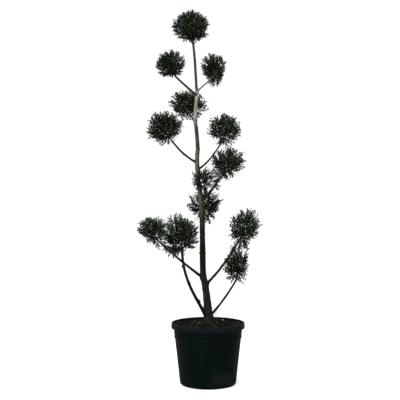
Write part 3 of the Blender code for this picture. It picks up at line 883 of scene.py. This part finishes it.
def make_trunk(finish, boughs):
    path = trunk_path()
    collars = []
    for (start, radius), (near, _), _, (far, _), *_ in boughs.values():
        side = (far - start).normalized()
        collars.append((near + side * 0.004, Vector((side.x, side.y, 0)).normalized(), radius))
    trunk = draw_limb(path, 28, trunk_relief(Scars(5, SCARS), knot_places("trunk", path), collars))
    finish_piece(trunk, "trunk_bark", finish, ["trunk"], smooth=60)


def make_stub(finish):
    """The short pruned stub on the trunk's left, sawn off flat."""
    root = trunk_at(STUB_HEIGHT)
    out = Vector((-1.0, -0.3, 0.6)).normalized()
    shares = np.linspace(0, 1, 7)
    path = [(root + out * STUB_REACH * share, STUB_RADIUS * (1.15 - 0.3 * share)) for share in shares]
    stub = draw_limb(path, 14, bark_relief)
    finish_piece(stub, "pruned_stub", finish, smooth=60)


def make_bough(name, path, finish):
    bough = draw_limb(path, 16, knotted_relief(knot_places(name, path)))
    finish_piece(bough, "bough_bark_" + name, finish, ["bough_" + name], smooth=60)


def spread_directions(count, chance, jitter):
    """Directions spread evenly over a sphere, each a little off its place."""
    golden = math.pi * (3 - math.sqrt(5))
    start = chance.uniform(0, 2 * math.pi)
    for index in range(count):
        z = 1 - 2 * (index + 0.5) / count
        level = math.sqrt(1 - z * z)
        turn = start + golden * index
        off = Vector([chance.uniform(-jitter, jitter) for _ in range(3)])
        yield (Vector((level * math.cos(turn), level * math.sin(turn), z)) + off).normalized()


class Space:
    """A pompon's own space: a spheroid with lobes that its foliage fills and doesn't leave."""

    def __init__(self, centre, half_width, half_height, lobes):
        self.centre = Vector(centre)
        self.half = Vector((half_width, half_width, half_height))
        turns = [(math.radians(turn), gain) for turn, gain in lobes]
        self.lobes = [(np.array((math.cos(turn), 0.0, math.sin(turn))), gain) for turn, gain in turns]

    def swell(self, directions):
        """How far out the space reaches in each direction, 1 on the plain spheroid."""
        reach = np.ones(np.shape(directions)[:-1])
        for way, gain in self.lobes:
            reach += gain * np.maximum(0.0, np.dot(directions, way)) ** LOBE_FOCUS
        return reach

    def point(self, direction, share):
        return self.centre + direction * self.half * share * float(self.swell(np.array(direction)))

    def level(self, points):
        """How far out points lie, 1 at the edge."""
        from_centre = (points - np.array(self.centre)) / np.array(self.half)
        apart = np.linalg.norm(from_centre, axis=-1)
        return apart / self.swell(from_centre / apart[..., None])


def distance_to_limbs(points, limbs):
    """How far each point is from the nearest limb's skin."""
    nearest = np.full(len(points), 1.0)
    for path in limbs:
        line_points = np.array([point for point, _ in path[::2]])
        radii = np.array([radius for _, radius in path[::2]])
        apart = np.linalg.norm(points[:, None, :] - line_points[None], axis=2) - radii
        nearest = np.minimum(nearest, apart.min(axis=1))
    return nearest


def cord(root, tip, width, lift):
    """A scaly cord of foliage: a slim closed sliver of four faces with a ridge on top."""
    along = tip - root
    across = np.array((-along[1], along[0], 0.0))
    across *= width / (2 * np.linalg.norm(across))
    waist = root + along * 0.52 - np.array((0, 0, lift))
    return np.array((root, tip, waist + across, waist - across))


CORD_FACES = np.array(((0, 1, 2), (0, 3, 1), (0, 2, 3), (1, 3, 2)))


def spray_kind(chance):
    """One flat feathery spray of unit length along X in the XY plane: cords, and which are tips."""
    cords = []
    tips = []
    sway = chance.uniform(-0.06, 0.06)

    def stalk(share):
        return np.array((share, sway * math.sin(math.pi * share), 0.0))

    def toothed(root, angle, length, outer):
        """A cord with small teeth to both sides."""
        heading = np.array((math.cos(angle), math.sin(angle), chance.uniform(-0.15, 0.15)))
        cords.append(cord(root, root + heading * length, 0.082, 0.014))
        tips.append(outer)
        for tooth in range(TEETH):
            fork = root + heading * length * (0.18 + 0.64 * tooth / TEETH)
            bend = angle + (1 if tooth % 2 else -1) * math.radians(chance.uniform(26, 38))
            barb = np.array((math.cos(bend), math.sin(bend), 0.0)) * chance.uniform(0.075, 0.10)
            cords.append(cord(fork, fork + barb, 0.052, 0.010))
            tips.append(outer or tooth > 1)

    for low, high in ((0.0, 0.42), (0.34, 0.76)):
        cords.append(cord(stalk(low), stalk(high), 0.085 - 0.018 * low, 0.016))
        tips.append(False)
    toothed(stalk(0.66), 0.0, 0.34, True)
    for number in range(FINGERS):
        share = 0.16 + 0.60 * (number + chance.uniform(-0.2, 0.2)) / (FINGERS - 1)
        side = 1 if number % 2 else -1
        angle = side * math.radians(chance.uniform(22, 36))
        length = (0.18 + 0.32 * (1 - share) ** 0.8) * chance.uniform(0.85, 1.15)
        toothed(stalk(share), angle, length, share > 0.6)
    return np.concatenate(cords), np.repeat(tips, len(CORD_FACES))


def frames(along, roll_from, roll):
    """Axes for many sprays: X along each, Y turned about it from a given side, Z across both."""
    side = np.cross(along, roll_from)
    side /= np.linalg.norm(side, axis=1)[:, None]
    normal = np.cross(side, along)
    cosine = np.cos(roll)[:, None]
    sine = np.sin(roll)[:, None]
    across = side * cosine + normal * sine
    return np.stack((along, across, np.cross(along, across)), axis=2)


def place_sprays(kinds, roots, along, length, bend, roll, tones, chance):
    """Copies of the spray kinds at their places, each bent along its length, with each face's tone."""
    axes = frames(along, chance.normal(size=along.shape), roll)
    pick = chance.integers(0, len(kinds), len(roots))
    points = []
    faces = []
    looks = []
    total = 0
    for number, (shape, tips) in enumerate(kinds):
        chosen = np.nonzero(pick == number)[0]
        if not len(chosen):
            continue
        bent = np.repeat(shape[None], len(chosen), axis=0) * length[chosen, None, None]
        share = shape[None, :, 0]
        bent[:, :, 2] += bend[chosen, None] * length[chosen, None] * share**2
        placed = np.einsum("nij,nkj->nki", axes[chosen], bent) + roots[chosen, None]
        cords_in_one = len(shape) // 4
        one = (CORD_FACES[None] + 4 * np.arange(cords_in_one)[:, None, None]).reshape(-1, 3)
        start = total + len(shape) * np.arange(len(chosen))
        faces.append((one[None] + start[:, None, None]).reshape(-1, 3))
        tone = tones[chosen]
        looks.append(np.where(tips[None], PALER[tone][:, None], tone[:, None]).reshape(-1))
        points.append(placed.reshape(-1, 3))
        total += placed.shape[0] * placed.shape[1]
    return np.concatenate(points), np.concatenate(faces), np.concatenate(looks)


def piece_from_arrays(points, faces, looks=None, finishes=()):
    mesh = bpy.data.meshes.new("piece")
    mesh.from_pydata(points, [], faces)
    for finish in finishes:
        mesh.materials.append(finish)
    if looks is not None:
        mesh.polygons.foreach_set("material_index", looks.astype(np.int32))
    mesh.update()
    return add_object("piece", mesh)


class Tubes:
    """Many fine twigs joined in one mesh, each a closed tapering tube along its own bend."""

    def __init__(self, sides=5):
        self.sides = sides
        self.points = []
        self.faces = []

    def add(self, root, knee, tip, root_radius, tip_radius, rings=4):
        start = len(self.points)
        sides = self.sides
        for ring in range(rings + 1):
            t = ring / rings
            centre = root.lerp(knee, t).lerp(knee.lerp(tip, t), t)
            along = (knee.lerp(tip, t) - root.lerp(knee, t)).normalized()
            if ring == 0:
                first = along.orthogonal().normalized()
            else:
                first = (first - along * first.dot(along)).normalized()
            second = along.cross(first)
            radius = root_radius + (tip_radius - root_radius) * t
            for side in range(sides):
                turn = 2 * math.pi * side / sides
                self.points.append(centre + (first * math.cos(turn) + second * math.sin(turn)) * radius)
        for ring in range(rings):
            for side in range(sides):
                low = start + ring * sides + side
                other = start + ring * sides + (side + 1) % sides
                self.faces.append((low, other, other + sides, low + sides))
        self.faces.append(tuple(start + side for side in reversed(range(sides))))
        self.faces.append(tuple(start + rings * sides + side for side in range(sides)))


def random_lean(chance):
    """A vector of random direction and length."""
    return Vector([chance.gauss(0, 1) for _ in range(3)])


class Growth:
    """One pompon as it grows: its twigs, and its sprays' roots, ways, lengths, facings and moods."""

    def __init__(self, space, entry, loose, seed):
        (before, _), (tip, self.radius) = entry
        leave = (tip - before).normalized()
        self.space = space
        self.loose = loose
        self.clipped = loose < CLIPPED_OPENNESS
        self.size = (space.half.x + space.half.z) / 2
        self.chance = random.Random(seed)
        self.root = tip - leave * STEM_OVERLAP
        self.knee = tip + leave * STEM_BEND * (space.centre - tip).length
        self.fan = space.centre.lerp(self.root, FAN_ORIGIN * (1 - loose**3))
        self.twigs = Tubes()
        self.twigs.add(self.root, self.knee, space.centre, self.radius, self.radius * 0.55, rings=8)
        self.mains = []
        self.sprays = []

    def fork(self, arms):
        """The arms that the stem splits into where it enters the pompon."""
        for arm in arms:
            tip = self.root + Vector(arm)
            knee = self.root.lerp(tip, 0.5) + UP * 0.004
            self.twigs.add(self.root, knee, tip, self.radius * 0.62, self.radius * 0.42, rings=5)

    def branch(self):
        """The main twigs, spread out all round: those that point up leave the stem further along."""
        chance = self.chance
        for outward in spread_directions(MAIN_TWIGS, chance, MAIN_JITTER):
            share = chance.uniform(*(LOW_FORKS if outward.z < 0.3 else HIGH_FORKS))
            inner = self.knee.lerp(self.space.centre, share)
            start = self.root.lerp(self.knee, share).lerp(inner, share)
            tip = self.space.point(outward, MAIN_REACH)
            if (tip - start).length > SHORTEST_MAIN:
                self.mains.append((start, tip, outward))
                bow = Vector([chance.uniform(-1, 1) for _ in range(3)]) * TWIG_BOW * self.size
                knee = start.lerp(tip, 0.5) + bow
                self.twigs.add(start, knee, tip, self.radius * 0.5, TWIG_TIP_RADIUS)

    def tuft(self, outward, in_tuft):
        """A fine twig with its fan of sprays, or nothing where the pompon is open."""
        chance = self.chance
        low = max(0.0, -outward.z)
        swell = float(self.space.swell(np.array(outward)))
        mood = chance.random()
        if chance.random() < self.loose * (0.12 + 0.75 * low) / swell**4:
            return
        reach, length = (CLIPPED_REACH, CLIPPED_LENGTH) if self.clipped else (LOOSE_REACH, LOOSE_LENGTH)
        peak = self.space.point(outward, chance.uniform(*reach))
        heading = ((peak - self.fan).normalized() + UP * UP_LEAN * (1 - low)).normalized()
        length = min(self.size * chance.uniform(*length), LONGEST_TUFT * (peak - self.fan).length)
        base = peak - heading * length
        start, tip, _ = max(self.mains, key=lambda row: row[2].dot(outward))
        fork = start.lerp(tip, chance.uniform(*FINE_FORKS))
        knee = fork.lerp(base, 0.6) + outward * TWIG_BOW * self.size
        self.twigs.add(fork, knee, base + heading * 0.3 * length, *FINE_TWIG_RADII, rings=3)
        if not self.clipped and low >= 0.30 and swell <= 1.08:
            in_tuft -= 1 if low < 0.6 else 2
        for number in range(in_tuft):
            first = number == 0
            spread = 0.20 if self.clipped else 0.30 - 0.16 * low
            along = (heading + random_lean(chance) * (0.08 if first else spread)).normalized()
            long = length * (1.0 if first else chance.uniform(0.66, 0.95))
            root = base + heading * chance.uniform(0, 0.15) * length
            self.sprays.append((root, along, long, outward.z, 0, mood))

    def fill(self, outward):
        """A spray in the shade inside the pompon."""
        rise = UP * (0.0 if self.clipped else 0.25 * self.loose) * self.size
        root = self.space.point(outward, self.chance.uniform(*INSIDE_REACH)) + rise
        along = (outward * 0.5 + random_lean(self.chance)).normalized()
        long = (0.60 if self.clipped else 0.45) * self.size
        self.sprays.append((root, along, long, outward.z, 1, self.chance.random()))


def deal_tones(sprays, loose, chance):
    """A tone for each spray: paler above and darker below as painted light from overhead, brown or
    painted shade inside, and much alike in a tuft.
    """
    clipped = loose < CLIPPED_OPENNESS
    # Painted light: sprays facing up draw paler tones (olive, middle green), those facing down darker
    # ones
    sunny, middle, blue, deep = (0.28, 0.12, 0.42, 0.80) if clipped else (0.0, 0.07, 0.36, 0.70)
    tones = []
    for _, _, _, facing, inner, mood in sprays:
        draw = mood if chance.random() < 0.6 else chance.random()
        # Inside sprays are brown, as dead foliage, or shaded green as painted shade
        if inner:
            tones.append(BROWN if draw < 0.40 else SHADED)
        elif draw < sunny * max(0.0, facing - 0.2):
            tones.append(OLIVE)
        elif draw < middle + 0.28 * max(0.0, facing):
            tones.append(MIDDLE)
        elif draw < blue:
            tones.append(BLUE)
        elif draw < deep + 0.12 * facing:
            tones.append(DEEP)
        else:
            tones.append(SHADED)
    return np.array(tones)


def make_pompon(name, values, entry, kinds, limbs, greens, twig_bark):
    centre, half_width, half_height, tufts, in_tuft, inside, loose, seed = values
    space = Space(centre, half_width, half_height, LOBES[name])
    growth = Growth(space, entry, loose, seed)
    growth.fork(FORK_ARMS if name == "top" else ())
    growth.branch()
    for outward in spread_directions(tufts, growth.chance, TUFT_JITTER):
        growth.tuft(outward, in_tuft)
    for outward in spread_directions(inside, growth.chance, INSIDE_JITTER):
        growth.fill(outward)
    chance = np.random.default_rng(seed)
    roots, along, length = (np.array([spray[part] for spray in growth.sprays]) for part in range(3))
    tones = deal_tones(growth.sprays, loose, chance)
    if name in WITHERED:
        way, brown = WITHERED[name]
        there = (roots - np.array(centre)) @ np.array(way) > 0.2 * half_width
        tones = np.where(there & (chance.random(len(roots)) < brown), BROWN, tones)
    kept = space.level(roots + along * length[:, None]) < SPACE_SLACK
    for share in (0.35, 0.7, 1.0):
        kept &= distance_to_limbs(roots + along * length[:, None] * share, limbs) > LIMB_CLEARANCE
    roots, along, length, tones = roots[kept], along[kept], length[kept], tones[kept]
    bend = chance.uniform(-0.25, 0.35, len(roots))
    roll = chance.uniform(0, 2 * math.pi, len(roots))
    made = place_sprays(kinds, roots, along, length, bend, roll, tones, chance)
    foliage = piece_from_arrays(*made, greens)
    finish_piece(foliage, "foliage_" + name, None, ["pompon_" + name])
    wood = piece_from_arrays(growth.twigs.points, growth.twigs.faces)
    finish_piece(wood, "twigs_" + name, twig_bark, smooth=60)


def copies(faces, in_one, count):
    """The faces of a shape for many copies of it, whose points follow one another."""
    starts = range(0, in_one * count, in_one)
    return [tuple(index + start for index in face) for start in starts for face in faces]


def clod_shape(seed):
    """A lumpy crumb from a small icosphere."""
    shape = bmesh.new()
    bmesh.ops.create_icosphere(shape, subdivisions=1, radius=1.0)
    chance = random.Random(seed)
    for vertex in shape.verts:
        vertex.co *= chance.uniform(0.75, 1.2)
    points = np.array([vertex.co for vertex in shape.verts])
    faces = [tuple(vertex.index for vertex in face.verts) for face in shape.faces]
    shape.free()
    return points, faces


def chip_shape():
    """A splinter of bark: a thin slab with a bevelled, uneven outline."""
    low = [(x, y, -0.09) for x, y in CHIP_OUTLINE]
    high = [(x * 0.92, y * 0.85, 0.09) for x, y in CHIP_OUTLINE]
    count = len(CHIP_OUTLINE)
    faces = [tuple(reversed(range(count))), tuple(range(count, 2 * count))]
    faces += [(n, (n + 1) % count, count + (n + 1) % count, count + n) for n in range(count)]
    return np.array(low + high), faces


def litter_places(chance, count, spread):
    """Places by chance on the soil, within a radius and clear of the trunk."""
    places = []
    while len(places) < count:
        # Three draws for each place: how far out, which way, and a spare one
        far, way, _ = chance.random(3)
        turn = 2 * math.pi * way
        x, y = (spread * math.sqrt(far) * side for side in (math.cos(turn), math.sin(turn)))
        if math.hypot(x - TRUNK_STATIONS[0][1], y) > LITTER_TO_TRUNK:
            places.append((x, y))
    return places


def make_litter(name, shape, faces):
    """Copies of one small shape strewn over the soil, each turned, stretched and sized by chance."""
    count, sizes, seed, tip_over, lift, gap, dark, pale, fleck = LITTER[name]
    chance = np.random.default_rng(seed)
    points = []
    for x, y in litter_places(chance, count, RIM_INNER_RADIUS - gap):
        grow = chance.uniform(*sizes)
        stretch = chance.uniform(0.7, 1.3, 3)
        turned = Matrix.Rotation(chance.uniform(0, 2 * math.pi), 3, "Z")
        for axis in "XY":
            turned = turned @ Matrix.Rotation(chance.normal() * tip_over, 3, axis)
        placed = (shape * stretch * grow) @ np.array(turned).T
        points.append(placed + np.array((x, y, ground_height(x, y) + lift * grow)))
    piece = piece_from_arrays(np.concatenate(points), copies(faces, len(shape), count))
    finish = speckled_finish(name.replace("_", " "), linear(*dark), linear(*pale), fleck)
    finish_piece(piece, name, finish)


def make_pale_chips():
    """The few light chips that stand out from the dark soil, tipped towards the viewer."""
    shape, faces = chip_shape()
    points = []
    for x, y, turn, size in PALE_CHIPS:
        facing = Matrix.Rotation(PALE_CHIP_TILT, 3, "X") @ Matrix.Rotation(math.radians(turn), 3, "Z")
        turned = (shape * (size, 0.5 * size, size)) @ np.array(facing).T
        points.append(turned + np.array((x, y, ground_height(x, y) + 0.5 * size)))
    chips = piece_from_arrays(np.concatenate(points), copies(faces, len(shape), len(PALE_CHIPS)))
    finish = speckled_finish("pale chips", linear(104, 102, 94), linear(160, 157, 148), 500.0)
    finish_piece(chips, "pale_chips", finish)


def small_sprays(kinds, cords, roots, along, length, bend, roll, chance):
    """One mesh of many short sprays on the soil, each only the first cords of a full one."""
    along /= np.linalg.norm(along, axis=1)[:, None]
    shapes = [(shape[: 4 * cords], tips[: 4 * cords]) for shape, tips in kinds]
    tones = np.zeros(len(roots), int)
    points, faces, _ = place_sprays(shapes, roots, along, length, bend, roll, tones, chance)
    return piece_from_arrays(points, faces)


def make_fallen_cords(kinds):
    """Brown sprays and broken cords that dropped from the pompons, thickest round the trunk."""
    chance = np.random.default_rng(71)
    radius = np.abs(chance.normal(0, FALLEN_SPREAD, FALLEN)) + FALLEN_TO_TRUNK
    turn = chance.uniform(0, 2 * math.pi, FALLEN)
    inside = radius < RIM_INNER_RADIUS - FALLEN_TO_RIM
    x, y = (radius * np.cos(turn))[inside], (radius * np.sin(turn))[inside]
    roots = np.array([(a, b, ground_height(a, b) + FALLEN_LIFT) for a, b in zip(x, y)])
    heading = chance.uniform(0, 2 * math.pi, len(roots))
    tilt = chance.normal(0, 0.10, len(roots))
    along = np.stack((np.cos(heading), np.sin(heading), tilt), axis=1)
    length = chance.uniform(*FALLEN_LENGTH, len(roots))
    roll = chance.normal(0, 0.3, len(roots))
    litter = small_sprays(kinds, FALLEN_CORDS, roots, along, length, roll * 0.2, roll, chance)
    finish = speckled_finish("fallen brown cords", linear(6, 6, 5), linear(44, 42, 35), 70.0)
    finish_piece(litter, "fallen_cords", finish)


def make_moss(kinds, chance):
    """Moss in patches on the left of the soil."""
    roots = []
    for x, y, spread, count in MOSS_PATCHES:
        for _ in range(count):
            a = x + chance.normal() * spread
            b = y + chance.normal() * spread * 0.8
            if MOSS_TO_TRUNK < math.hypot(a, b) < RIM_INNER_RADIUS - MOSS_TO_RIM:
                roots.append((a, b, ground_height(a, b) - MOSS_ROOT))
    roots = np.array(roots)
    count = len(roots)
    leans = [chance.normal(0, 0.5, count) for _ in range(2)]
    along = np.stack((*leans, np.ones(count)), axis=1)
    length = chance.uniform(*MOSS_LENGTH, count)
    roll = chance.uniform(0, 2 * math.pi, count)
    moss = small_sprays(kinds, MOSS_CORDS, roots, along, length, np.zeros(count), roll, chance)
    finish = speckled_finish("moss", linear(10, 15, 9), linear(40, 48, 32), 90.0)
    finish_piece(moss, "moss", finish)


def make_wisps(chance):
    """Thin dry wisps of grass that stand up beside the trunk's right."""
    blades = Tubes(3)
    for number in range(WISPS):
        x, y = (foot + step * number for foot, step in zip(WISP_FOOT, WISP_STEP))
        root = Vector((x, y, ground_height(x, y) - 0.001))
        lean = Vector((float(chance.uniform(-0.014, 0.010)), float(chance.uniform(-0.010, 0.010)), 0))
        rise = UP * float(chance.uniform(*WISP_HEIGHT))
        blades.add(root, root + rise * 0.6 + lean * 0.2, root + rise + lean, *WISP_RADII, rings=6)
    wisps = piece_from_arrays(blades.points, blades.faces)
    finish = speckled_finish("pale grass", linear(34, 36, 28), linear(66, 68, 56), 300.0)
    finish_piece(wisps, "grass_wisps", finish, smooth=60)


def area_light(name, place, aim, size, power):
    light = bpy.data.lights.new(name, "AREA")
    light.shape = "DISK"
    light.size = size
    light.energy = power
    lamp = add_object(name, light)
    lamp.location = place
    lamp.rotation_euler = (Vector(aim) - Vector(place)).to_track_quat("-Z", "Y").to_euler()


def make_sky():
    """White all round, and brighter overhead."""
    world = bpy.data.worlds.new("white studio")
    world.use_nodes = True
    wire = Wire(world.node_tree)
    upward = wire.make("ShaderNodeSeparateXYZ", None, {0: wire.make("ShaderNodeTexCoord")}, output=2)
    strength = SKY_STRENGTH + SKY_OVERHEAD * upward.step(0.35, 0.95)
    background = world.node_tree.nodes["Background"]
    background.inputs["Color"].default_value = (1.0, 1.0, 1.0, 1.0)
    world.node_tree.links.new(strength.socket, background.inputs["Strength"])
    bpy.context.scene.world = world


def make_studio():
    """A wide pale floor, a little greyer far from the pot, and two soft lights from the front."""
    select_none()
    bpy.ops.mesh.primitive_circle_add(vertices=96, radius=FLOOR_RADIUS, fill_type="NGON")
    floor = bpy.context.object
    floor.name = "studio_floor"
    made, wire, shader = new_finish("pale floor", grey(0.72), 0.9, Specular_IOR_Level=0.1)
    place = object_coordinates(wire)
    far = wire.make("ShaderNodeVectorMath", {"operation": "LENGTH"}, {0: place}, output=1)
    mottle = wire.noise(place, 3.0, 2.0, 0.5)
    near = mottle.between((*grey(0.71), 1.0), (*grey(0.73), 1.0))
    colour = far.step(*FLOOR_FADE).between(near, (*grey(0.53), 1.0))
    floor.data.materials.append(wear(made, wire, shader, colour))
    bpy.context.scene.view_settings.view_transform = "Standard"
    for light in LIGHTS:
        area_light(*light)


def make_camera():
    camera = bpy.data.cameras.new("camera")
    camera.lens = CAMERA_LENS
    camera.clip_end = 200.0
    view = add_object("camera", camera)
    view.location = CAMERA_PLACE
    view.rotation_euler = (math.radians(90), 0, 0)
    bpy.context.scene.camera = view


def main():
    make_camera()
    make_sky()
    make_studio()
    make_pot()
    make_soil(soil_finish())
    boughs = {name: bough_path(*values) for name, values in BOUGHS.items()}
    trunk = trunk_path()
    bark = bough_bark()
    make_trunk(trunk_bark(), boughs)
    make_stub(bark)
    own_bark = {"upper_right": pale_bough_bark()}
    for name, path in boughs.items():
        make_bough(name, path, own_bark.get(name, bark))
    greens = foliage_finishes()
    twig_bark = speckled_finish("twig bark", linear(22, 19, 15), linear(40, 36, 29), 240.0)
    kind_chance = random.Random(7)
    kinds = [spray_kind(kind_chance) for _ in range(SPRAY_KINDS)]
    limbs = [trunk] + list(boughs.values())
    for name, values in POMPONS.items():
        entry = boughs.get(name, trunk)[-2:]
        make_pompon(name, values, entry, kinds, limbs, greens, twig_bark)
    make_litter("compost_crumbs", *clod_shape(3))
    make_litter("bark_chips", *chip_shape())
    make_litter("pale_grit", *clod_shape(9))
    make_pale_chips()
    make_fallen_cords(kinds)
    green_chance = np.random.default_rng(83)
    make_moss(kinds, green_chance)
    make_wisps(green_chance)


main()
